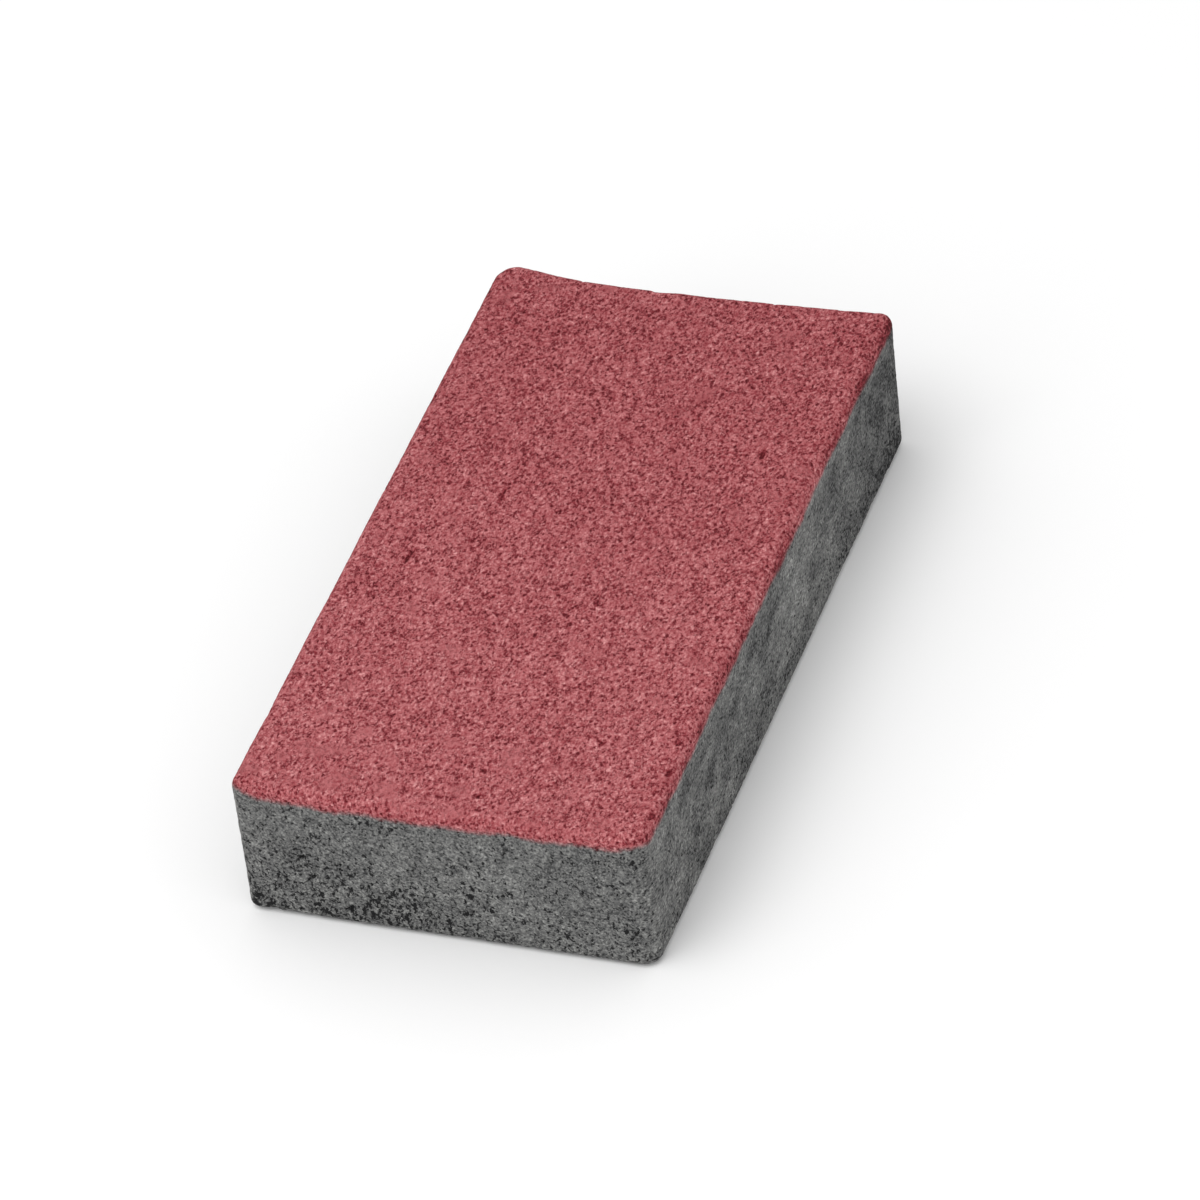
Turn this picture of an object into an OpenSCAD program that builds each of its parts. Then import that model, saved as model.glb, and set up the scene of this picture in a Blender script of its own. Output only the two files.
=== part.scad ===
// Concrete paving stone: a vibro-pressed block, moulded in one piece.
// Millimetres. The bed face lies on Z = 0 with its middle at the origin, the wearing face looks up,
// and the length runs along Y, from the near end (-Y) to the far end (+Y).

/* [Stone] */
// Length over both ends
stone_length = 200; // [150:5:300]
// Width over both long sides
stone_width = 100; // [80:5:160]
// Thickness from the bed face to the wearing face
stone_thickness = 40; // [30:5:100]

/* [Upright corners] */
// Radius of the far right corner
far_right_corner_radius = 3; // [1:0.5:15]
// Radius of the far left corner, the most worn one
far_left_corner_radius = 6; // [1:0.5:15]
// Radius of the near left corner
near_left_corner_radius = 3; // [1:0.5:15]
// Radius of the near right corner
near_right_corner_radius = 4.5; // [1:0.5:15]

/* [Edges] */
// Radius of the edge round the wearing face, as far as the tightest upright corner has room for it
top_edge_radius = 2.75; // [0.5:0.25:8]
// Radius of the edge round the bed face, as far as the tightest upright corner has room for it
bed_edge_radius = 2.5; // [0.5:0.25:8]

/* [Ends] */
// Place of both ends' deepest point, to the right of the middle
bow_place = -18; // [-24:1:24]
// How far the near end bulges out under the wearing face
near_bulge = 1.25; // [0:0.25:3]
// How far the whole near end leans out from the bed face to the wearing face
near_lean = 1.25; // [0:0.25:3]
// How far the far end is hollowed
far_hollow = 2.5; // [0:0.25:4]

/* [Hidden] */

// Flat steps in a quarter round, and in each half of an end's long curve
corner_steps = 8;
edge_steps = 6;
bow_steps = 7;

half_length = stone_length / 2;
half_width = stone_width / 2;
concrete_red = [0.63, 0.37, 0.37];

// Radii of the upright corners, anticlockwise from the far right one
corner_radii = [far_right_corner_radius, far_left_corner_radius,
                near_left_corner_radius, near_right_corner_radius];

// Radii of the edges, which run round the upright corners and so stay inside the tightest of them
edge_room = min(corner_radii) - 0.25;
top_edge = min(top_edge_radius, edge_room);
bed_edge = min(bed_edge_radius, edge_room);

// Height at which the near end reaches its whole lean, where the wearing face's edge starts
full_lean_height = stone_thickness - top_edge;

// Share of an end's bow at x: 1 at bow_place, falling as a parabola to 0 where the corner round starts
function bow_share(x, left_limit, right_limit) =
    let (limit = x > bow_place ? right_limit : left_limit,
         t = min(1, (x - bow_place) / (limit - bow_place)))
    1 - t * t;

// How far the near end stands in from its foremost point
function near_setback(x, z) =
    let (share = bow_share(x, near_left_corner_radius - half_width, half_width - near_right_corner_radius),
         rise = min(1, z / full_lean_height))
    near_lean + near_bulge - (near_lean + near_bulge * share) * rise;

// How far the far end stands in from its rearmost points, the corners
function far_setback(x) =
    far_hollow * bow_share(x, far_left_corner_radius - half_width, half_width - far_right_corner_radius);

// A point of the plain outline, moved in to the true face of its end
function on_end(p, z) =
    [p.x, p.y > 0 ? p.y - far_setback(p.x) : p.y + near_setback(p.x, z), z];

// One upright corner's round, as a quarter of a circle that starts in the direction given
function corner_arc(index, inset) =
    let (radius = corner_radii[index],
         side_x = index == 0 || index == 3 ? 1 : -1,
         side_y = index < 2 ? 1 : -1)
    [for (step = [0:corner_steps])
        let (angle = 90 * (index + step / corner_steps))
        [side_x * (half_width - radius) + (radius - inset) * cos(angle),
         side_y * (half_length - radius) + (radius - inset) * sin(angle)]];

// The points of an end between its two corner rounds, with one of them at bow_place
function end_line(from_x, to_x, y) =
    concat(
        [for (step = [1:bow_steps]) [from_x + (bow_place - from_x) * step / bow_steps, y]],
        [for (step = [1:bow_steps - 1]) [bow_place + (to_x - bow_place) * step / bow_steps, y]]);

// The outline at height z, anticlockwise from above, drawn in by inset all round
function ring(inset, z) =
    let (plain = concat(
        corner_arc(0, inset),
        end_line(half_width - far_right_corner_radius, far_left_corner_radius - half_width,
                 half_length - inset),
        corner_arc(1, inset),
        corner_arc(2, inset),
        end_line(near_left_corner_radius - half_width, half_width - near_right_corner_radius,
                 inset - half_length),
        corner_arc(3, inset)))
    [for (p = plain) on_end(p, z)];

// Inset and height of every ring: up the bed face's edge, then round the wearing face's edge
ring_places = concat(
    [for (step = [0:edge_steps])
        let (angle = 90 * step / edge_steps)
        [bed_edge * (1 - sin(angle)), bed_edge * (1 - cos(angle))]],
    [for (step = [0:edge_steps])
        let (angle = 90 * step / edge_steps)
        [top_edge * (1 - cos(angle)), full_lean_height + top_edge * sin(angle)]]);

module paving_stone() {
    rings = [for (place = ring_places) ring(place[0], place[1])];
    ring_size = len(rings[0]);
    last_ring = len(rings) - 1;
    bed_face = [for (i = [0:ring_size - 1]) i];
    wearing_face = [for (i = [ring_size - 1:-1:0]) last_ring * ring_size + i];
    side_faces = [for (level = [0:last_ring - 1], i = [0:ring_size - 1])
        let (next = (i + 1) % ring_size, low = level * ring_size, high = low + ring_size)
        [low + i, high + i, high + next, low + next]];
    color(concrete_red)
        polyhedron(
            points = [for (outline = rings, p = outline) p],
            faces = concat([bed_face, wearing_face], side_faces),
            convexity = 2);
}

paving_stone();
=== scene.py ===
"""The finish of a pressed concrete paving stone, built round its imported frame.

The stone was moulded in one go, so it is one closed skin. Its surface starts as a fine lattice laid
over a plain block. The lattice is rounded at the corners and edges, bowed at both ends, and then
pressed in by the stone's relief: slow unevenness, sandy grain, pores, chipped edges and a few dents.
The concrete's finer grain, its red wearing face and its bare grey body come from one material.

Shapes are worked out in millimetres and put into the mesh in metres.
"""
from __future__ import annotations

import logging
import math
from dataclasses import dataclass, field
from enum import Enum, IntEnum
from typing import Any, Union

import bpy
import numpy as np
from mathutils import Matrix, Vector

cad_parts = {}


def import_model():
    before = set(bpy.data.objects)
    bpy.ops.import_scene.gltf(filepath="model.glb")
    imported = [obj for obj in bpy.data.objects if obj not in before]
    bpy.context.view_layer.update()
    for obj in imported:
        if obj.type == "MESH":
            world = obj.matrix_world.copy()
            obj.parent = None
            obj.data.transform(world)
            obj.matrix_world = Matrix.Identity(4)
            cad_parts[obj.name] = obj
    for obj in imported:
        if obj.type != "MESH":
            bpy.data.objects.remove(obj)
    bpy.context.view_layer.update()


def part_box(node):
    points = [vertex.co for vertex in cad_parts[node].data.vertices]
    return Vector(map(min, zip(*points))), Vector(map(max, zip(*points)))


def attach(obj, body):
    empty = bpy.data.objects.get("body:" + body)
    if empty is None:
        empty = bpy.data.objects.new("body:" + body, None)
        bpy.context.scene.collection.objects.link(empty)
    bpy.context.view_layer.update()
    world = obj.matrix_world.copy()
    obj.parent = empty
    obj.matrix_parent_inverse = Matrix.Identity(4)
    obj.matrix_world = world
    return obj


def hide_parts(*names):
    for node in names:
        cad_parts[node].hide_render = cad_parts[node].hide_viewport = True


LOG = logging.getLogger("paving_stone")
MM = 0.001
Array = np.ndarray
Colour = tuple[float, float, float]
# Which coordinate is the height.
UP = 2
# Smooth noise is raised by this, so that it reaches about -1 to 1.
NOISE_GAIN = 1.7


# ---------------------------------------------------------------- random fields


class Pattern(IntEnum):
    """One random pattern for each use. Finer layers of a pattern take the numbers after it."""

    UNEVENNESS = 11
    RIPPLE = 15
    SAND = 21
    CHIPS = 31
    SMALL_CHIPS = 33
    OPEN_PATCHES = 41
    PORES = 51
    PORE_CLUSTERS = 52
    PITS = 61
    PIT_CLUSTERS = 62
    RED_LIMIT = 71
    LIMIT_STREAKS = 81
    LIMIT_STRETCHES = 82
    CLOSED_PATCHES = 85
    CLOSED_RIMS = 86
    SIDE_MOTTLE = 91
    SIDE_CLOUD = 95
    FACE_MOTTLE = 96


def scrambled(cells: Array, seed: int) -> Array:
    """Turns whole-number cells of space into one random-looking number each.

    Each coordinate is multiplied by its own large odd number, the three are combined bit by bit
    with the seed, and two rounds of shifting and multiplying spread every bit over the result.

    Args:
        cells: whole numbers, with x, y and z along the last axis.
        seed: picks one of many unrelated patterns.

    Returns:
        An unsigned whole number for each cell.
    """
    parts = cells.astype(np.int64).astype(np.uint32)
    odd = np.array([0x8DA6B343, 0xD8163841, 0xCB1AB31F], np.uint32)
    mixed = np.bitwise_xor.reduce(parts * odd, axis=-1)
    mixed ^= np.uint32((seed * 0x9E3779B1) & 0xFFFFFFFF)
    for shift, factor in ((16, 0x85EBCA6B), (13, 0xC2B2AE35)):
        mixed = (mixed ^ (mixed >> np.uint32(shift))) * np.uint32(factor)
    return mixed ^ (mixed >> np.uint32(16))


def random_share(cells: Array, seed: int) -> Array:
    """A random number from 0 to 1 for each whole-number cell."""
    return scrambled(cells, seed) / 4294967296.0


def random_triple(cells: Array, seed: int) -> Array:
    """Three independent random numbers from 0 to 1 for each whole-number cell."""
    return np.stack([random_share(cells, seed + axis * 101) for axis in range(3)], axis=-1)


def corner_offsets(low: int, high: int) -> Array:
    """Every whole-number step from low up to high in x, y and z, as rows of three."""
    steps = np.arange(low, high + 1)
    return np.stack(np.meshgrid(steps, steps, steps, indexing="ij"), axis=-1).reshape(-1, 3)


def smooth_noise(points: Array, size: float, seed: int) -> Array:
    """Smooth random hills and hollows, about -1 to 1.

    Space is cut into cubes. Every cube corner has a random slope, and a point's value is the sum of
    its eight corners' slopes times the way to each corner, blended with the curve
    6 t^5 - 15 t^4 + 10 t^3 along each axis.

    Args:
        points: places in millimetres, one a row.
        size: a cube's side in millimetres, which is about half a wave.
        seed: picks the pattern.

    Returns:
        One value for each point.
    """
    scaled = points / size
    base = np.floor(scaled)
    within = scaled - base
    blend = within**3 * (within * (within * 6.0 - 15.0) + 10.0)
    total = np.zeros(len(points))
    for corner in corner_offsets(0, 1):
        slope = random_triple(base + corner, seed) * 2.0 - 1.0
        share = np.prod(np.where(corner == 1, blend, 1.0 - blend), axis=1)
        total += share * np.sum(slope * (within - corner), axis=1)
    return total * NOISE_GAIN


def layered_noise(points: Array, size: float, seed: int, layers: int = 3) -> Array:
    """Smooth noise with finer layers on it, each half as wide and half as strong as the last."""
    total = np.zeros(len(points))
    for layer in range(layers):
        total += smooth_noise(points, size / 2**layer, seed + layer) / 2**layer
    return total / 1.5


def eased(value: Array, low: float, high: float) -> Array:
    """A smooth step from 0 at low to 1 at high, which may be the smaller of the two."""
    share = np.clip((value - low) / (high - low), 0.0, 1.0)
    return share * share * (3.0 - 2.0 * share)


# ---------------------------------------------------------------- the stone's form


class Side(Enum):
    """The five sides with small square cells. The bed face has wide ones, laid on their own."""

    WEARING = "wearing face"
    NEAR = "near end"
    FAR = "far end"
    LEFT = "left side"
    RIGHT = "right side"


@dataclass(frozen=True)
class Form:
    """The stone's true shape, in millimetres, with the sizes that the frame's box doesn't give.

    Attributes:
        low: lowest corner of the stone's box.
        high: highest corner of the stone's box.
        corner_radii: upright corners' radii, anticlockwise from the far right one.
        top_edge_radius: radius of the edge round the wearing face.
        bed_edge_radius: radius of the edge round the bed face.
        bow_place: place across the width where both ends bow most.
        near_bulge: how far the near end bulges under the wearing face.
        near_lean: how far the near end leans out from the bed face up.
        far_hollow: how far the far end is hollowed.
        end_reach: how far in from an end its bow moves the surface.
    """

    low: Array
    high: Array
    corner_radii: tuple[float, float, float, float] = (3.0, 6.0, 3.0, 4.5)
    top_edge_radius: float = 2.75
    bed_edge_radius: float = 2.5
    bow_place: float = -18.0
    near_bulge: float = 1.25
    near_lean: float = 1.25
    far_hollow: float = 2.5
    end_reach: float = 60.0

    @property
    def size(self) -> Array:
        """Width, length and thickness."""
        return self.high - self.low

    def bow_share(self, x: Array, left: float, right: float) -> Array:
        """Share of an end's bow: 1 at bow_place, falling as a parabola to 0 at the limits.

        Args:
            x: places across the width.
            left: limit on the left, where the corner's round starts.
            right: limit on the right.

        Returns:
            1 - t^2, with t the way from bow_place to the limit on that side, at most 1.
        """
        limit = np.where(x > self.bow_place, right, left)
        t = np.clip((x - self.bow_place) / (limit - self.bow_place), 0.0, 1.0)
        return 1.0 - t * t

    def end_shift(self, places: Array) -> Array:
        """How far each place moves along Y so that the ends lean and bow.

        The shift is whole for the first corner radius in from an end and eases to nothing at
        end_reach, so the long sides stay straight.
        """
        half_width = self.size[0] / 2.0
        far_right, far_left, near_left, near_right = self.corner_radii
        x, y, z = places.T
        rise = np.clip(z / (self.size[UP] - self.top_edge_radius), 0.0, 1.0)
        near_share = self.bow_share(x, near_left - half_width, half_width - near_right)
        far_share = self.bow_share(x, far_left - half_width, half_width - far_right)
        near = self.near_lean + self.near_bulge
        near = near - (self.near_lean + self.near_bulge * near_share) * rise
        far = self.far_hollow * far_share
        from_near = y - self.low[1]
        from_far = self.high[1] - y
        whole = max(self.corner_radii)
        return (near * eased(from_near, self.end_reach, whole)
                - far * eased(from_far, self.end_reach, whole))

    def rounded(self, block: Array) -> tuple[Array, Array]:
        """Rounds points of the plain block's surface into the stone's corners and edges.

        In plan, a point in a corner's square is drawn in to the quarter circle along its own
        direction, which turns squares into circles: it keeps the larger of its two steps from the
        square's inner corner as its distance. The same is then done between that distance and the
        height, with the edge's radius, so that the edge follows the corners round.

        Args:
            block: points on the plain block's surface, one a row.

        Returns:
            The rounded points, and the direction straight out of the surface at each.
        """
        half = self.size / 2.0
        middle = (self.low + self.high) / 2.0
        flat = block[:, :2] - middle[:2]
        sign = np.where(flat >= 0.0, 1.0, -1.0)
        far_right, far_left, near_left, near_right = self.corner_radii
        radius = np.where(sign[:, 0] > 0,
                          np.where(sign[:, 1] > 0, far_right, near_right),
                          np.where(sign[:, 1] > 0, far_left, near_left))
        inner = half[:2] - radius[:, None]
        steps = np.maximum(np.abs(flat) - inner, 0.0)
        core = sign * np.minimum(np.abs(flat), inner)
        reach = steps.max(axis=1)
        length = np.linalg.norm(steps, axis=1)
        way = sign * steps / np.maximum(length, 1e-9)[:, None]

        z = block[:, UP]
        upper = z > middle[UP]
        edge = np.where(upper, self.top_edge_radius, self.bed_edge_radius)
        level = np.clip(z, self.low[UP] + self.bed_edge_radius, self.high[UP] - self.top_edge_radius)
        out = np.maximum(reach - (radius - edge), 0.0)
        up = np.abs(z - level)
        scale = edge / np.maximum(np.hypot(out, up), 1e-9)
        plan = core + way * (reach - out + out * scale)[:, None]
        rise = np.where(upper, 1.0, -1.0) * up * scale
        points = np.column_stack([plan + middle[:2], level + rise])
        facing = np.column_stack([way * (out * scale / edge)[:, None], rise / edge])
        points[:, 1] += self.end_shift(points)
        return points, facing


@dataclass
class Lattice:
    """The closed net of faces laid over the plain block.

    The sides and the wearing face have square cells. The bed face, which is hardly seen, has cells
    three times as wide, whose outer edges take in the finer points of the sides.

    Attributes:
        cells: cells along the width, the length and the thickness.
        coarse: how many cells of the sides one cell of the bed face spans.
        gap: space round each side on the flat map, in cells.
        bed_scale: the bed face's scale on the flat map, next to the other sides' scale.
        keys: for each side, the number of the lattice point at every corner of every cell.
        kept: for each side, which of those corners its faces use.
        maps: for each side, where those corners lie on the flat map.
    """

    cells: tuple[int, int, int] = (144, 288, 57)
    coarse: int = 3
    gap: int = 4
    bed_scale: float = 0.5
    keys: list[Array] = field(default_factory=list)
    kept: list[Array] = field(default_factory=list)
    maps: list[Array] = field(default_factory=list)

    def number(self, i: Array, j: Array, k: Array) -> Array:
        """One number for each lattice point, worked out from its three counts."""
        return (i * (self.cells[1] + 1) + j) * (self.cells[2] + 1) + k

    def add_side(self, side: Side, origin: tuple[float, float], unit: float) -> None:
        """Adds one side's square cells, each as four corners in order, anticlockwise from outside.

        Args:
            side: which side.
            origin: where the side's first corner lies on the flat map.
            unit: size of one cell on the flat map.
        """
        wide, long, high = self.cells
        across, along = {
            Side.WEARING: (wide, long),
            Side.NEAR: (wide, high),
            Side.FAR: (wide, high),
            Side.LEFT: (high, long),
            Side.RIGHT: (high, long),
        }[side]
        a, b = (grid.ravel() for grid in np.meshgrid(np.arange(across), np.arange(along), indexing="ij"))
        a = a[:, None] + np.array([0, 1, 1, 0])
        b = b[:, None] + np.array([0, 0, 1, 1])
        i, j, k = {
            Side.WEARING: lambda: (a, b, np.full_like(a, high)),
            Side.NEAR: lambda: (a, np.zeros_like(a), b),
            Side.FAR: lambda: (wide - a, np.full_like(a, long), b),
            Side.LEFT: lambda: (np.zeros_like(a), b, a),
            Side.RIGHT: lambda: (np.full_like(a, wide), b, high - a),
        }[side]()
        self.keys.append(self.number(i, j, k))
        self.kept.append(np.ones_like(a, bool))
        self.maps.append(np.stack([origin[0] + b * unit, origin[1] + a * unit], axis=-1)
                         if side in (Side.WEARING, Side.LEFT, Side.RIGHT)
                         else np.stack([origin[0] + a * unit, origin[1] + b * unit], axis=-1))

    def add_bed(self, origin: tuple[float, float], unit: float) -> None:
        """Adds the bed face's wide cells.

        Each cell is walked round its whole rim, clockwise from above. Its corners are kept, and the
        points between them only where the rim lies on the block's edge, so the net stays closed.

        Args:
            origin: where the face's first corner lies on the flat map.
            unit: size of one of the sides' cells on the flat map.
        """
        wide, long, _ = self.cells
        step = self.coarse
        ahead = np.arange(step)
        walk_i = np.concatenate([np.zeros(step, int), ahead, np.full(step, step), step - ahead])
        walk_j = np.concatenate([ahead, np.full(step, step), step - ahead, np.zeros(step, int)])
        first_i, first_j = (grid.ravel()[:, None] * step for grid in
                            np.meshgrid(np.arange(wide // step), np.arange(long // step), indexing="ij"))
        i = first_i + walk_i
        j = first_j + walk_j
        is_corner = np.broadcast_to(np.arange(4 * step) % step == 0, i.shape)
        on_rim = (i == 0) | (i == wide) | (j == 0) | (j == long)
        self.keys.append(self.number(i, j, np.zeros_like(i)))
        self.kept.append(is_corner | on_rim)
        self.maps.append(np.stack([origin[0] + i * unit, origin[1] + j * unit], axis=-1))

    def lay(self) -> None:
        """Lays all six sides out on the flat map, the bed face beside the long sides."""
        wide, long, high = self.cells
        gap = self.gap
        across = long + wide * self.bed_scale + 3 * gap
        unit = 1.0 / across
        row = gap * unit
        self.add_side(Side.LEFT, (gap * unit, row), unit)
        row += high * unit
        self.add_side(Side.WEARING, (gap * unit, row), unit)
        row += wide * unit
        self.add_side(Side.RIGHT, (gap * unit, row), unit)
        row += (high + gap) * unit
        self.add_side(Side.NEAR, (gap * unit, row), unit)
        self.add_side(Side.FAR, ((wide + 2 * gap) * unit, row), unit)
        self.add_bed(((long + 2 * gap) * unit, gap * unit), unit * self.bed_scale)

    def points_and_faces(self, form: Form) -> tuple[Array, Array, Array, Array]:
        """Numbers the lattice points once each and places them on the plain block.

        Args:
            form: the stone's form, whose box the lattice fills.

        Returns:
            The points on the plain block in millimetres, the faces' corners as point numbers all in
            one row, each face's first place in that row, and each corner's place on the flat map.
        """
        corners = np.concatenate([k[m] for k, m in zip(self.keys, self.kept)])
        counts = np.concatenate([m.sum(axis=1) for m in self.kept])
        flat_map = np.concatenate([u[m] for u, m in zip(self.maps, self.kept)])
        used, numbered = np.unique(corners, return_inverse=True)
        k = used % (self.cells[2] + 1)
        j = used // (self.cells[2] + 1) % (self.cells[1] + 1)
        i = used // ((self.cells[2] + 1) * (self.cells[1] + 1))
        share = np.column_stack([i, j, k]) / np.array(self.cells)
        starts = np.concatenate([[0], np.cumsum(counts)[:-1]])
        return form.low + share * form.size, numbered.ravel(), starts, flat_map


# ---------------------------------------------------------------- the stone's relief


@dataclass(frozen=True)
class Dent:
    """A long shallow mark pressed into the wearing face.

    Attributes:
        inward: its middle's distances in from the right side and from the near end.
        length: its length.
        width: its width.
        turn: its direction, in degrees anticlockwise from X.
        depth: its depth.
    """

    inward: tuple[float, float]
    length: float
    width: float
    turn: float
    depth: float


@dataclass(frozen=True)
class Skin:
    """What the relief works out for every point of the mesh.

    Attributes:
        depth: how far the surface lies below the form, in millimetres.
        hollow: depth of the pores, pits, chips and dents that the finish darkens as painted shade, in
            millimetres.
        open_grain: share of open, stony texture, from 0 to 1.
        above_limit: height above the red's lower limit, in millimetres.
        stain: how much darker the surface is painted, from stains, tone and painted shade, in shares of
            the finish's tones.
        closed: share of smooth, closed patches, from 0 to 1.
    """

    depth: Array
    hollow: Array
    open_grain: Array
    above_limit: Array
    stain: Array
    closed: Array


@dataclass(frozen=True)
class Relief:
    """How far the real surface lies below the stone's form, in millimetres, and where the red ends.

    Attributes:
        slow: height of the slow unevenness left by the mould.
        sand: height of the sandy grain.
        pit: depth of the wearing face's small pits.
        pore: depth of the largest pores in the grey body.
        chip: depth of the deepest chips along the edges.
        slow_width: half a wave of the slow unevenness.
        sand_width: half a wave of the sandy grain.
        pit_width: half a wave of the noise that places the pits.
        pore_width: half a wave of the noise that places the pores.
        chip_width: half a wave of the noise that places the chips.
        chip_share: share of a chip's depth that the finish darkens as painted shade, since chips are open.
        dent_share: the same for a dent, whose narrow bottom gets more painted shade than its depth gives.
        dents: marks on the wearing face.
        red_reach: how far down from the top the red reaches.
        wander: how far the red's limit wanders up and down.
        wander_width: half a wave of that.
        limit_darkening: how much darker the surface is painted in streaks along the red's limit on the
        right and on the left, in shares of the finish's tones.
        corner_lifts: how much higher the red ends at the upright corners, anticlockwise from the
            far right one.
        corner_spread: how far from each upright corner its lift is felt.
    """

    slow: float = 0.16
    sand: float = 0.11
    pit: float = 0.30
    pore: float = 1.0
    chip: float = 0.9
    slow_width: float = 30.0
    sand_width: float = 1.6
    pit_width: float = 1.05
    pore_width: float = 1.9
    chip_width: float = 4.5
    chip_share: float = 0.4
    dent_share: float = 2.2
    dents: tuple[Dent, ...] = (
        Dent((1.6, 26.1), 3.8, 1.5, 84.0, 0.50),
        Dent((1.0, 11.4), 3.4, 1.5, 88.0, 0.45),
        Dent((2.6, 36.4), 3.0, 1.8, 60.0, 0.35),
        Dent((19.9, 32.5), 2.6, 1.5, 70.0, 0.45),
        Dent((41.8, 9.0), 2.8, 1.4, -35.0, 0.40),
        Dent((43.6, 18.0), 2.6, 1.5, -20.0, 0.35),
        Dent((70.8, 113.5), 8.0, 1.5, 95.0, 0.40),
        Dent((85.4, 87.5), 6.5, 1.6, 83.0, 0.45),
        Dent((15.0, 141.0), 6.0, 1.5, 92.0, 0.35),
    )
    red_reach: float = 3.3
    wander: float = 1.3
    wander_width: float = 11.0
    limit_darkening: tuple[float, float] = (0.18, 0.26)
    corner_lifts: tuple[float, float, float, float] = (1.5, 1.0, 1.6, 1.0)
    corner_spread: tuple[float, float, float, float] = (5.0, 6.0, 6.0, 6.0)

    def open_grain(self, points: Array, facing: Array, form: Form) -> Array:
        """Share of open, stony texture at each point of the grey body, from 0 to 1.

        The ends are open, most of all low down and to the left of the near end. The long sides
        were rubbed smooth by the mould, but for patches near the bed face and the far end.
        """
        x, y, z = points.T
        low = eased(z, form.size[UP] * 0.75, 0.0)
        on_near = eased(-facing[:, 1], 0.5, 0.9)
        on_far = eased(facing[:, 1], 0.5, 0.9)
        on_side = eased(np.abs(facing[:, 0]), 0.5, 0.9)
        on_bed = eased(-facing[:, UP], 0.5, 0.9)
        leftward = eased(x, form.size[0] * 0.3, -form.size[0] * 0.4)
        patches = layered_noise(points, 14.0, Pattern.OPEN_PATCHES, 2)
        near = 0.42 + 0.18 * low + 0.22 * leftward * low
        side = 0.22 + 0.22 * low + 0.28 * eased(y, 30.0, form.high[1]) * low
        total = on_near * near + on_far * (0.45 + 0.25 * low) + on_side * side + on_bed * 0.5
        return np.clip(total + 0.25 * patches, 0.0, 1.0)

    def edge_share(self, facing: Array) -> Array:
        """1 on the round of an edge or an upright corner, falling to 0 on the flat faces."""
        flatness = np.abs(facing).max(axis=1)
        return eased(flatness, 0.995, 0.80)

    def pores(self, points: Array, open_grain: Array) -> Array:
        """Depth of the larger pores in the grey body.

        A pore is where two sizes of smooth noise add up to more than a limit, which falls as the
        grain opens. The points are first drawn together upwards, so the pores stand a little tall.
        """
        tall = points * np.array([1.25, 1.25, 0.85])
        ragged = smooth_noise(tall, self.pore_width, Pattern.PORES)
        ragged = ragged + 0.5 * smooth_noise(points, 4.2, Pattern.PORE_CLUSTERS)
        return self.pore * eased(ragged + 0.62 * open_grain, 1.00, 1.45)

    def pits(self, points: Array) -> Array:
        """Depth of the wearing face's pits: where fine noise passes a limit, in loose clusters."""
        ragged = smooth_noise(points, self.pit_width, Pattern.PITS)
        ragged = ragged + 0.35 * smooth_noise(points, 5.0, Pattern.PIT_CLUSTERS)
        return self.pit * eased(ragged, 0.55, 1.1)

    def closed(self, points: Array, facing: Array, form: Form) -> Array:
        """Share of smooth, closed patches on the wearing face: most lie along its near edge."""
        near = eased(points[:, 1], form.low[1] + 40.0, form.low[1] + 5.0)
        patches = smooth_noise(points, 8.0, Pattern.CLOSED_PATCHES)
        patches = patches + 0.5 * smooth_noise(points, 3.5, Pattern.CLOSED_RIMS) + 0.45 * near
        return eased(patches, 0.35, 1.05) * eased(facing[:, UP], 0.5, 0.9)

    def stain(self, points: Array, facing: Array, above_limit: Array, form: Form) -> Array:
        """How much darker the surface is painted than its plain tone, in shares of the finish's tones.

        Both long sides are mottled and darken towards the far end and the bed face. The wearing face
        is given painted shade that makes it a little darker towards the far end, where less light falls.
        The surface is darker in broken streaks where the red ends on the long sides and the far end,
        most of all on the left.
        """
        y, z = points[:, 1], points[:, UP]
        far = eased(y, form.low[1], form.high[1])
        on_side = eased(np.abs(facing[:, 0]), 0.35, 0.9)
        on_face = eased(facing[:, UP], 0.5, 0.9)
        drawn = points * np.array([1.0, 0.65, 1.0])
        mottle = 0.28 * layered_noise(drawn, 6.5, Pattern.SIDE_MOTTLE, 3)
        mottle = mottle + 0.08 * smooth_noise(drawn, 24.0, Pattern.SIDE_CLOUD) + 0.03
        end = 0.18 * eased(y, form.high[1] * 0.45, form.high[1])
        streaks = smooth_noise(points, 2.6, Pattern.LIMIT_STREAKS)
        streaks = streaks + 0.6 * smooth_noise(points, 9.0, Pattern.LIMIT_STRETCHES)
        outward = np.maximum(np.abs(facing[:, 0]), facing[:, 1])
        limit = eased(above_limit, -0.7, 0.2) * eased(above_limit, 3.0, 1.2) * eased(outward, 0.4, 0.85)
        # Broken streaks darken the surface along the red's limit, more on the left than on the right.
        right_darkening, left_darkening = self.limit_darkening
        limit_darkening = np.where(points[:, 0] > 0.0, right_darkening, left_darkening) * eased(streaks, -0.8, 0.4) * limit
        side = mottle + end + 0.03 * eased(z, 14.0, 0.0)
        # Painted shade: the wearing face grows a little darker towards the far end, where less light
        # falls.
        face = 0.07 * far + 0.03 * layered_noise(points, 20.0, Pattern.FACE_MOTTLE, 2) - 0.035
        return on_side * side + on_face * face + limit_darkening

    def dented(self, points: Array, form: Form) -> Array:
        """Depth of the dents: a smooth step of d^2, where d is the share of the way to the rim."""
        total = np.zeros(len(points))
        for dent in self.dents:
            turn = math.radians(dent.turn)
            x = points[:, 0] - (form.high[0] - dent.inward[0])
            y = points[:, 1] - (form.low[1] + dent.inward[1])
            along = (x * math.cos(turn) + y * math.sin(turn)) / (dent.length / 2.0)
            across = (y * math.cos(turn) - x * math.sin(turn)) / (dent.width / 2.0)
            total += dent.depth * eased(along**2 + across**2, 1.0, 0.25)
        return total

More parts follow.
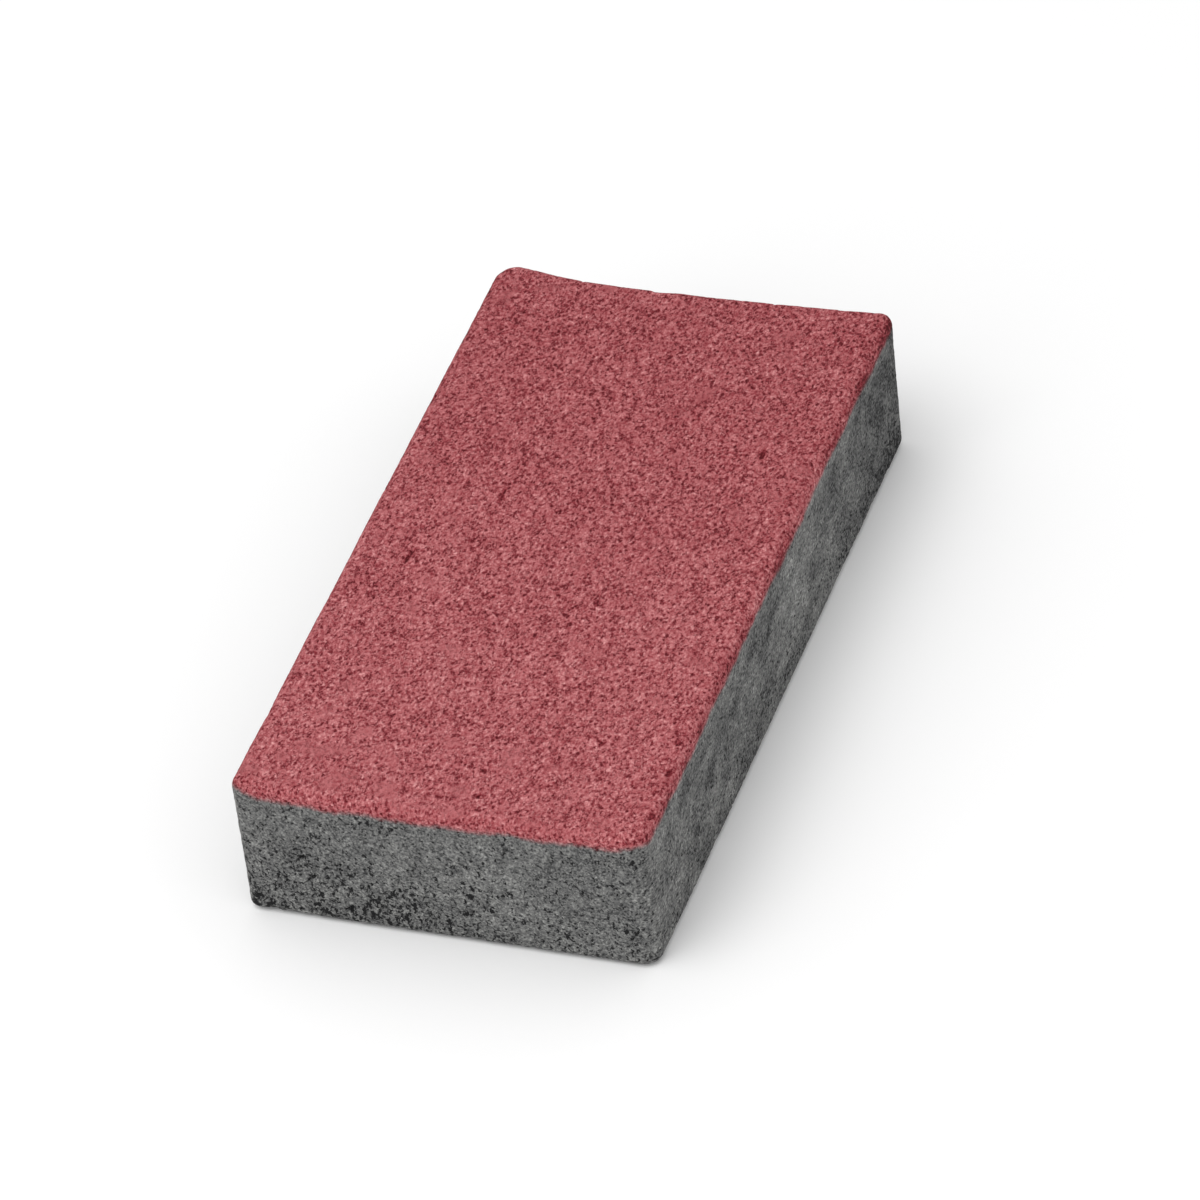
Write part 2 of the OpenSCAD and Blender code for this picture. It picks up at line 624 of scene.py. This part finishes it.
    def red_limit(self, points: Array, form: Form) -> Array:
        """Height at which the red ends: a slow wave round the stone, higher near upright corners."""
        level = points * np.array([1.0, 1.0, 0.3])
        wave = layered_noise(level, self.wander_width, Pattern.RED_LIMIT, 3)
        limit = form.high[UP] - self.red_reach + self.wander * wave
        corners = ((form.high[0], form.high[1]), (form.low[0], form.high[1]),
                   (form.low[0], form.low[1]), (form.high[0], form.low[1]))
        for (x, y), lift, spread in zip(corners, self.corner_lifts, self.corner_spread):
            away = np.hypot(points[:, 0] - x, points[:, 1] - y)
            limit = limit + lift * eased(away, spread, 0.25 * spread)
        return limit

    def skin(self, points: Array, facing: Array, form: Form) -> Skin:
        """Works out everything that the mesh and its finish need at each point.

        Args:
            points: places on the stone's form.
            facing: the direction straight out of the surface at each.
            form: the stone's form.

        Returns:
            The skin's numbers.
        """
        on_face = eased(points[:, UP], form.high[UP] - 3.5, form.high[UP] - 1.5)
        upward = eased(facing[:, UP], 0.2, 0.9)
        edge = self.edge_share(facing)
        open_grain = self.open_grain(points, facing, form) * (1.0 - on_face)

        slow = layered_noise(points, self.slow_width, Pattern.UNEVENNESS, 3)
        slow = slow + 0.35 * smooth_noise(points, 7.0, Pattern.RIPPLE)
        slow = self.slow * np.clip(slow + 0.5, 0.0, 1.6)
        sand = layered_noise(points, self.sand_width, Pattern.SAND, 2)
        sand = self.sand * np.clip(sand + 0.5, 0.0, 1.8) * (0.9 + 0.8 * open_grain)
        chips = smooth_noise(points, self.chip_width, Pattern.CHIPS)
        chips = chips + 0.5 * smooth_noise(points, 2.0, Pattern.SMALL_CHIPS)
        chips = self.chip * edge * eased(chips, 0.3, 1.3)
        pores = self.pores(points, open_grain) * (1.0 - on_face)
        closed = self.closed(points, facing, form)
        pits = self.pits(points) * on_face * (1.0 - 0.8 * closed)
        dents = self.dented(points, form) * upward

        above_limit = points[:, UP] - self.red_limit(points, form)
        return Skin(depth=slow + sand + chips + pores + pits + dents,
                    hollow=pores + pits + self.chip_share * chips + self.dent_share * dents,
                    open_grain=open_grain, above_limit=above_limit,
                    stain=self.stain(points, facing, above_limit, form), closed=closed)


# ---------------------------------------------------------------- shader maths


Number = Union["Varying", float]


class Varying:
    """A value that changes over the surface: one output of a node, with the usual operators."""

    def __init__(self, tree: "ShaderTree", socket: bpy.types.NodeSocket) -> None:
        """Keeps the tree, for the nodes that sums need, and the output."""
        self.tree = tree
        self.socket = socket

    def maths(self, operation: str, *values: Number) -> "Varying":
        """A Math node of the given operation on the given values."""
        return self.tree.node("ShaderNodeMath", {"operation": operation}, dict(enumerate(values)))

    def __add__(self, other: Number) -> "Varying":
        """self + other."""
        return self.maths("ADD", self, other)

    def __radd__(self, other: Number) -> "Varying":
        """other + self."""
        return self.maths("ADD", other, self)

    def __sub__(self, other: Number) -> "Varying":
        """self - other."""
        return self.maths("SUBTRACT", self, other)

    def __rsub__(self, other: Number) -> "Varying":
        """other - self."""
        return self.maths("SUBTRACT", other, self)

    def __mul__(self, other: Number) -> "Varying":
        """self * other."""
        return self.maths("MULTIPLY", self, other)

    def __rmul__(self, other: Number) -> "Varying":
        """other * self."""
        return self.maths("MULTIPLY", other, self)

    def larger(self, other: Number) -> "Varying":
        """The larger of self and other."""
        return self.maths("MAXIMUM", self, other)

    def step(self, low: float, high: float) -> "Varying":
        """A smooth step from 0 at low to 1 at high, which may be the smaller of the two."""
        return self.tree.node("ShaderNodeMapRange", {"interpolation_type": "SMOOTHSTEP"},
                              {"Value": self, "From Min": low, "From Max": high})

    def other(self, name: str) -> "Varying":
        """Another output of the same node."""
        return Varying(self.tree, self.socket.node.outputs[name])


class ShaderTree:
    """A material's node tree, with one method that adds any node."""

    def __init__(self, name: str) -> None:
        """Starts an empty material of that name."""
        self.material = bpy.data.materials.new(name)
        self.material.use_nodes = True
        self.nodes = self.material.node_tree.nodes
        self.nodes.clear()

    def node(self, kind: str, settings: dict[str, Any], sockets: dict[Any, Any],
             output: Union[int, str] = 0) -> Varying:
        """Adds a node.

        Args:
            kind: the node's type.
            settings: its own settings, set first. "stops" holds a colour ramp's (place, colour)
                pairs.
            sockets: each input's name or number, with a value or a Varying to link.
            output: the output that the result stands for.

        Returns:
            That output.
        """
        made = self.nodes.new(kind)
        for name, value in settings.items():
            if name == "stops":
                ramp = made.color_ramp.elements
                for _ in value[2:]:
                    ramp.new(0.5)
                for stop, (place, colour) in zip(ramp, value):
                    stop.position = place
                    stop.color = (*colour, 1.0)
            else:
                setattr(made, name, value)
        for key, value in sockets.items():
            if isinstance(value, Varying):
                self.material.node_tree.links.new(made.inputs[key], value.socket)
            else:
                made.inputs[key].default_value = value
        outputs = made.outputs
        return Varying(self, outputs[output] if len(outputs) else None)

    def mixed(self, share: Number, first: Any, second: Any) -> Varying:
        """A colour that goes from first to second as share goes from 0 to 1."""
        return self.node("ShaderNodeMix", {"data_type": "RGBA"}, {0: share, 6: first, 7: second}, 2)

    def moved(self, first: Any, second: Any) -> Varying:
        """The sum of two vectors."""
        return self.node("ShaderNodeVectorMath", {"operation": "ADD"}, {0: first, 1: second})

    def scaled(self, vector: Varying, factor: float) -> Varying:
        """A vector times a number."""
        return self.node("ShaderNodeVectorMath", {"operation": "SCALE"}, {0: vector, "Scale": factor})

    def stretched(self, vector: Varying, factors: tuple[float, float, float]) -> Varying:
        """A vector with x, y and z each times a number of its own."""
        return self.node("ShaderNodeVectorMath", {"operation": "MULTIPLY"}, {0: vector, 1: factors})

    def noise(self, at: Varying, size: float, detail: float = 2.0, rough: float = 0.5) -> Varying:
        """Smooth noise from 0 to 1 round 0.5, with waves about twice size millimetres long."""
        return self.node("ShaderNodeTexNoise", {},
                         {"Vector": at, "Scale": 1.0 / size, "Detail": detail, "Roughness": rough})

    def grains(self, at: Varying, size: float, feature: str = "F1") -> Varying:
        """Irregular grains of that mean width: the distance from each grain's seed, or its edge."""
        return self.node("ShaderNodeTexVoronoi", {"feature": feature}, {"Vector": at, "Scale": 1.0 / size},
                         "Distance")

    def parted(self, grains: Varying) -> Varying:
        """A random number from 0 to 1 for each grain; its node's Green and Blue are two more."""
        return self.node("ShaderNodeSeparateColor", {}, {0: grains.other("Color")}, "Red")

    def ramp(self, share: Varying, stops: tuple[tuple[float, Colour], ...]) -> Varying:
        """The colour that stands at that share of a row of stops."""
        return self.node("ShaderNodeValToRGB", {"stops": stops}, {"Fac": share}, "Color")

    def attribute(self, name: str) -> Varying:
        """A number stored at the mesh's points."""
        return self.node("ShaderNodeAttribute", {"attribute_name": name}, {}, "Fac")


def shade(red: int, green: int, blue: int) -> Colour:
    """A colour given as it shows on a screen, 0 to 255, as the amounts of light it stands for."""
    parts = (red / 255.0, green / 255.0, blue / 255.0)
    return tuple(c / 12.92 if c <= 0.04045 else ((c + 0.055) / 1.055) ** 2.4 for c in parts)


@dataclass(frozen=True)
class Grain:
    """The patterns in the concrete, each a number that changes over the surface.

    Attributes:
        fine: fine grit, from -0.5 to 0.5.
        tint: each grain's own tint, from -0.5 to 0.5.
        pale: 1 on the few palest grains.
        gap: 1 in the gaps between the grains, where the wearing face gets painted shade in patches.
        dots: 1 on round dark specks, painted shade of tiny pits.
        dark: 1 on every dark speck of the wearing face, painted shade of tiny pits and of gaps between
            grains.
        hole: 1 in the grey body's small and large holes, which get painted shade.
        mottle: slow change of tone, from -0.5 to 0.5.
        cloud: very slow change of tone, from -0.5 to 0.5.
        fray: unevenness of the red's limit, from -0.5 to 0.5.
    """

    fine: Varying
    tint: Varying
    pale: Varying
    gap: Varying
    dots: Varying
    dark: Varying
    hole: Varying
    mottle: Varying
    cloud: Varying
    fray: Varying


@dataclass(frozen=True)
class PressedConcrete:
    """The stone's one finish: open, sandy concrete, red on the wearing face and grey below it.

    Widths and heights are in millimetres.

    Attributes:
        reds: stops of the wearing face, from its pits to its palest grains.
        greys: stops of the body, from its pores to its palest grains.
        roughness: the dry concrete's roughness.
        specular: how strongly its face reflects.
        crowding: how much closer the patterns' places lie along Y, which draws the grain out.
        warp_scale: warps to a millimetre.
        warp_reach: how far a warp moves the grain.
        grain_width: a grain's mean width.
        spot_width: mean distance between round dark specks.
        speck_width: half a wave of the ragged specks.
        hole_width: half a wave of the small holes.
        large_hole_width: half a wave of the large holes.
        fine_width: half a wave of the fine grit.
        mottle_width: half a wave of the slow change of tone.
        cloud_width: half a wave of the very slow change of tone.
        fray_width: half a wave of the red limit's unevenness.
        bump_height: height of the finest relief.
        bump_strength: how strongly it shows.
    """

    reds: tuple[tuple[float, Colour], ...] = (
        (0.00, shade(84, 12, 20)),
        (0.30, shade(132, 46, 54)),
        (0.50, shade(164, 83, 87)),
        (0.70, shade(187, 109, 112)),
        (1.00, shade(224, 156, 156)),
    )
    greys: tuple[tuple[float, Colour], ...] = (
        (0.00, shade(28, 28, 29)),
        (0.30, shade(82, 82, 82)),
        (0.50, shade(109, 109, 108)),
        (0.70, shade(130, 130, 128)),
        (1.00, shade(170, 170, 167)),
    )
    roughness: float = 0.9
    specular: float = 0.2
    crowding: float = 0.7
    warp_scale: float = 1.3
    warp_reach: float = 1.1
    grain_width: float = 0.75
    spot_width: float = 1.15
    speck_width: float = 0.95
    hole_width: float = 1.15
    large_hole_width: float = 1.75
    fine_width: float = 0.6
    mottle_width: float = 3.2
    cloud_width: float = 24.0
    fray_width: float = 1.5
    bump_height: float = 0.45
    bump_strength: float = 0.8

    def grain(self, tree: ShaderTree) -> Grain:
        """Lays the concrete's patterns out over the stone.

        Args:
            tree: the material's tree.

        Returns:
            The patterns.
        """
        place = tree.node("ShaderNodeTexCoord", {}, {}, "Object")
        at = tree.stretched(place, (1.0 / MM, self.crowding / MM, 1.0 / MM))
        warp = tree.node("ShaderNodeTexNoise", {}, {"Vector": at, "Scale": self.warp_scale, "Detail": 1.0},
                         "Color")
        bent = tree.moved(at, tree.scaled(warp, self.warp_reach))

        random = tree.parted(tree.grains(bent, self.grain_width))
        gap = tree.grains(bent, self.grain_width, "DISTANCE_TO_EDGE").step(0.16, 0.02)
        spot = tree.grains(bent, self.spot_width)
        dots = spot.step(0.40, 0.24) * tree.parted(spot).step(0.1, 0.4)
        speck = tree.noise(bent, self.speck_width, 2.0, 0.6)
        # The dark specks stand for painted shade in tiny pits and in the gaps between grains.
        dark = dots.larger(speck.step(0.62, 0.69)).larger(gap * speck.step(0.52, 0.62) * 0.8)

        open_grain = tree.attribute("open_grain")
        small = tree.noise(bent, self.hole_width, 2.0, 0.6) + open_grain * 0.14
        tall = tree.stretched(bent, (1.4, 1.4, 0.8))
        large = tree.noise(tall, self.large_hole_width, 2.0, 0.55) + open_grain * 0.28

        return Grain(fine=tree.noise(at, self.fine_width, 1.0, 0.6) - 0.5,
                     tint=random - 0.5,
                     pale=random.other("Blue").step(0.86, 0.92),
                     gap=gap,
                     dots=dots,
                     dark=dark,
                     hole=(small.step(0.665, 0.725) * 0.7).larger(large.step(0.79, 0.83)),
                     mottle=tree.noise(at, self.mottle_width, 3.0, 0.6) - 0.5,
                     cloud=tree.noise(at, self.cloud_width, 2.0) - 0.5,
                     fray=tree.noise(bent, self.fray_width, 3.0, 0.65) - 0.5)

    def face(self, tree: ShaderTree, grain: Grain) -> Varying:
        """The wearing face's colour: grit fades on closed patches, hollows and dark specks get painted
        shade, and stains darken it.
        """
        hollow = tree.attribute("hollow")
        # Painted shade: dark specks darken tiny pits and some gaps between grains.
        grit = grain.fine * 1.1 + grain.tint * 0.18 - grain.dark * 0.34 + grain.pale * 0.07
        tone = 0.562 + grit * (1.0 - tree.attribute("closed") * 0.65) + grain.mottle * 0.22
        # Painted shade: pits, pores, chips and dents are darker the deeper they are.
        tone = tone - hollow.step(0.05, 0.40) * 0.14 - hollow.step(0.4, 0.8) * 0.34
        # Stains, and painted shade towards the far end, darken the wearing face.
        return tree.ramp(tone - tree.attribute("stain"), self.reds)

    def body(self, tree: ShaderTree, grain: Grain) -> Varying:
        """The bare body's colour: grit grows with open grain, holes, hollows and dark specks get painted
        shade, and mottle and streaks darken it.
        """
        # Painted shade: round dark specks darken tiny pits.
        grit = grain.fine * 1.2 + grain.tint * 0.18 - grain.dots * 0.19
        tone = 0.535 + grit * (0.95 + tree.attribute("open_grain") * 0.2)
        tone = tone + grain.mottle * 0.6 + grain.cloud * 0.3 - tree.attribute("stain")
        # Painted shade: holes and deep hollows are darkened.
        tone = tone - grain.hole * 0.78 - tree.attribute("hollow").step(0.25, 0.8) * 0.28
        return tree.ramp(tone, self.greys)

    def material(self) -> bpy.types.Material:
        """Builds the material."""
        tree = ShaderTree("pressed_concrete")
        grain = self.grain(tree)
        red = (tree.attribute("above_limit") + grain.fray * 1.7).step(-1.3, 1.0)
        colour = tree.mixed(red, self.body(tree, grain), self.face(tree, grain))
        rough = self.roughness - grain.fine * 0.15 - grain.tint * 0.08
        level = grain.fine * 0.8 - grain.gap * 0.25 - grain.dark * 0.7 - grain.hole * (1.0 - red) * 1.3
        bump = tree.node("ShaderNodeBump", {}, {"Strength": self.bump_strength,
                                                "Distance": self.bump_height * MM, "Height": level})
        skin = tree.node("ShaderNodeBsdfPrincipled", {},
                         {"Base Color": colour, "Roughness": rough, "Specular IOR Level": self.specular,
                          "Normal": bump})
        tree.node("ShaderNodeOutputMaterial", {}, {"Surface": skin})
        return tree.material


# ---------------------------------------------------------------- the stone


@dataclass
class PavingStone:
    """The whole stone: its form, its net, its relief and its finish.

    Attributes:
        form: the stone's true shape.
        lattice: the net laid over it.
        relief: how far the surface lies below the form.
        finish: what it is made of.
    """

    form: Form
    lattice: Lattice = field(default_factory=Lattice)
    relief: Relief = field(default_factory=Relief)
    finish: PressedConcrete = field(default_factory=PressedConcrete)

    def mesh(self) -> bpy.types.Mesh:
        """Makes the closed skin, with its flat map and the numbers that the finish reads.

        Returns:
            The mesh, in metres.
        """
        self.lattice.lay()
        block, corners, starts, flat_map = self.lattice.points_and_faces(self.form)
        points, facing = self.form.rounded(block)
        skin = self.relief.skin(points, facing, self.form)
        surface = points - facing * skin.depth[:, None]

        mesh = bpy.data.meshes.new("paving_stone_skin")
        mesh.vertices.add(len(surface))
        mesh.loops.add(len(corners))
        mesh.polygons.add(len(starts))
        mesh.vertices.foreach_set("co", (surface * MM).astype(np.float32).ravel())
        mesh.loops.foreach_set("vertex_index", corners.astype(np.int32))
        mesh.polygons.foreach_set("loop_start", starts.astype(np.int32))
        mesh.update(calc_edges=True)
        mesh.validate()
        mesh.shade_smooth()
        flat = mesh.uv_layers.new(name="OFBake")
        flat.data.foreach_set("uv", flat_map.astype(np.float32).ravel())
        for name in ("hollow", "open_grain", "above_limit", "stain", "closed"):
            stored = mesh.attributes.new(name, "FLOAT", "POINT")
            stored.data.foreach_set("value", getattr(skin, name).astype(np.float32))
        return mesh

    def build(self) -> bpy.types.Object:
        """Makes the stone's piece, dresses it and ties it to the frame.

        Returns:
            The finished piece.
        """
        piece = bpy.data.objects.new("paving_stone_skin", self.mesh())
        piece.data.materials.append(self.finish.material())
        bpy.context.scene.collection.objects.link(piece)
        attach(piece, "root")
        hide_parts("paving_stone")
        return piece


# ---------------------------------------------------------------- the studio


@dataclass(frozen=True)
class View:
    """The camera's place, given by what it looks at.

    Attributes:
        target: the point at the picture's middle, in metres.
        azimuth: how far the view is turned from straight along +Y towards -X, in degrees.
        elevation: how far above the level the camera stands, in degrees.
        roll: how far the camera is turned clockwise about its own axis, in degrees.
        distance: from the camera to the target, in metres.
        lens: focal length on a 36 mm wide sensor, in millimetres.
    """

    target: tuple[float, float, float] = (0.00519, 0.00287, 0.02089)
    azimuth: float = 21.93
    elevation: float = 39.24
    roll: float = 6.343
    distance: float = 2.2885
    lens: float = 292.1

    def build(self) -> bpy.types.Object:
        """Makes the camera and gives it to the scene."""
        azimuth, elevation = math.radians(self.azimuth), math.radians(self.elevation)
        ahead = Vector((-math.sin(azimuth) * math.cos(elevation),
                        math.cos(azimuth) * math.cos(elevation), -math.sin(elevation)))
        level = ahead.to_track_quat("-Z", "Y").to_matrix().to_4x4()
        data = bpy.data.cameras.new("camera")
        data.lens = self.lens
        data.sensor_width = 36.0
        data.clip_end = 50.0
        camera = bpy.data.objects.new("camera", data)
        camera.matrix_world = (Matrix.Translation(Vector(self.target) - ahead * self.distance)
                               @ level @ Matrix.Rotation(-math.radians(self.roll), 4, "Z"))
        bpy.context.scene.collection.objects.link(camera)
        bpy.context.scene.camera = camera
        return camera


@dataclass(frozen=True)
class SoftBox:
    """A square studio lamp with a diffuser.

    Attributes:
        name: its name.
        place: where it stands, in metres.
        size: its side, in metres.
        power: its power, in watts.
    """

    name: str
    place: tuple[float, float, float]
    size: float
    power: float

    def build(self) -> bpy.types.Object:
        """Makes the lamp, facing the stone."""
        data = bpy.data.lights.new(self.name, "AREA")
        data.shape = "SQUARE"
        data.size = self.size
        data.energy = self.power
        lamp = bpy.data.objects.new(self.name, data)
        turn = (-Vector(self.place)).to_track_quat("-Z", "Y").to_matrix().to_4x4()
        lamp.matrix_world = Matrix.Translation(self.place) @ turn
        bpy.context.scene.collection.objects.link(lamp)
        return lamp


@dataclass(frozen=True)
class Studio:
    """A pale floor under soft lamps.

    Attributes:
        lamps: the soft boxes.
        sky: strength of the even light from all round.
        floor_size: side of the floor, in metres.
        floor_colour: the floor's paint.
    """

    lamps: tuple[SoftBox, ...] = (
        SoftBox("overhead_box", (-0.4, -0.75, 1.7), 1.3, 14.0),
        SoftBox("front_box", (-0.9, -2.0, 1.1), 1.2, 5.0),
    )
    sky: float = 0.80
    floor_size: float = 16.0
    floor_colour: Colour = (0.93, 0.93, 0.93)

    def floor(self) -> bpy.types.Object:
        """Makes the floor, a single flat square just under the stone."""
        half = self.floor_size / 2.0
        mesh = bpy.data.meshes.new("floor")
        mesh.from_pydata([(-half, -half, 0.0), (half, -half, 0.0), (half, half, 0.0), (-half, half, 0.0)],
                         [], [(0, 1, 2, 3)])
        tree = ShaderTree("floor_paint")
        paint = tree.node("ShaderNodeBsdfDiffuse", {}, {"Color": (*self.floor_colour, 1.0)})
        tree.node("ShaderNodeOutputMaterial", {}, {"Surface": paint})
        mesh.materials.append(tree.material)
        plane = bpy.data.objects.new("floor", mesh)
        bpy.context.scene.collection.objects.link(plane)
        return plane

    def build(self) -> None:
        """Sets up the floor, the lamps, the even light and the plain rendering of colours."""
        self.floor()
        for lamp in self.lamps:
            lamp.build()
        scene = bpy.context.scene
        scene.world = bpy.data.worlds.new("even_light")
        scene.world.use_nodes = True
        backdrop = scene.world.node_tree.nodes["Background"]
        backdrop.inputs["Color"].default_value = (1.0, 1.0, 1.0, 1.0)
        backdrop.inputs["Strength"].default_value = self.sky
        scene.view_settings.view_transform = "Standard"


def main() -> None:
    """Loads the frame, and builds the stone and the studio."""
    logging.basicConfig(level=logging.INFO, format="%(name)s: %(message)s")
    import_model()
    low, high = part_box("paving_stone")
    form = Form(low=np.array(low) / MM, high=np.array(high) / MM)
    stone = PavingStone(form).build()
    LOG.info("%s: %d points, %d faces", stone.name, len(stone.data.vertices), len(stone.data.polygons))
    View().build()
    Studio().build()


if __name__ == "__main__":
    main()
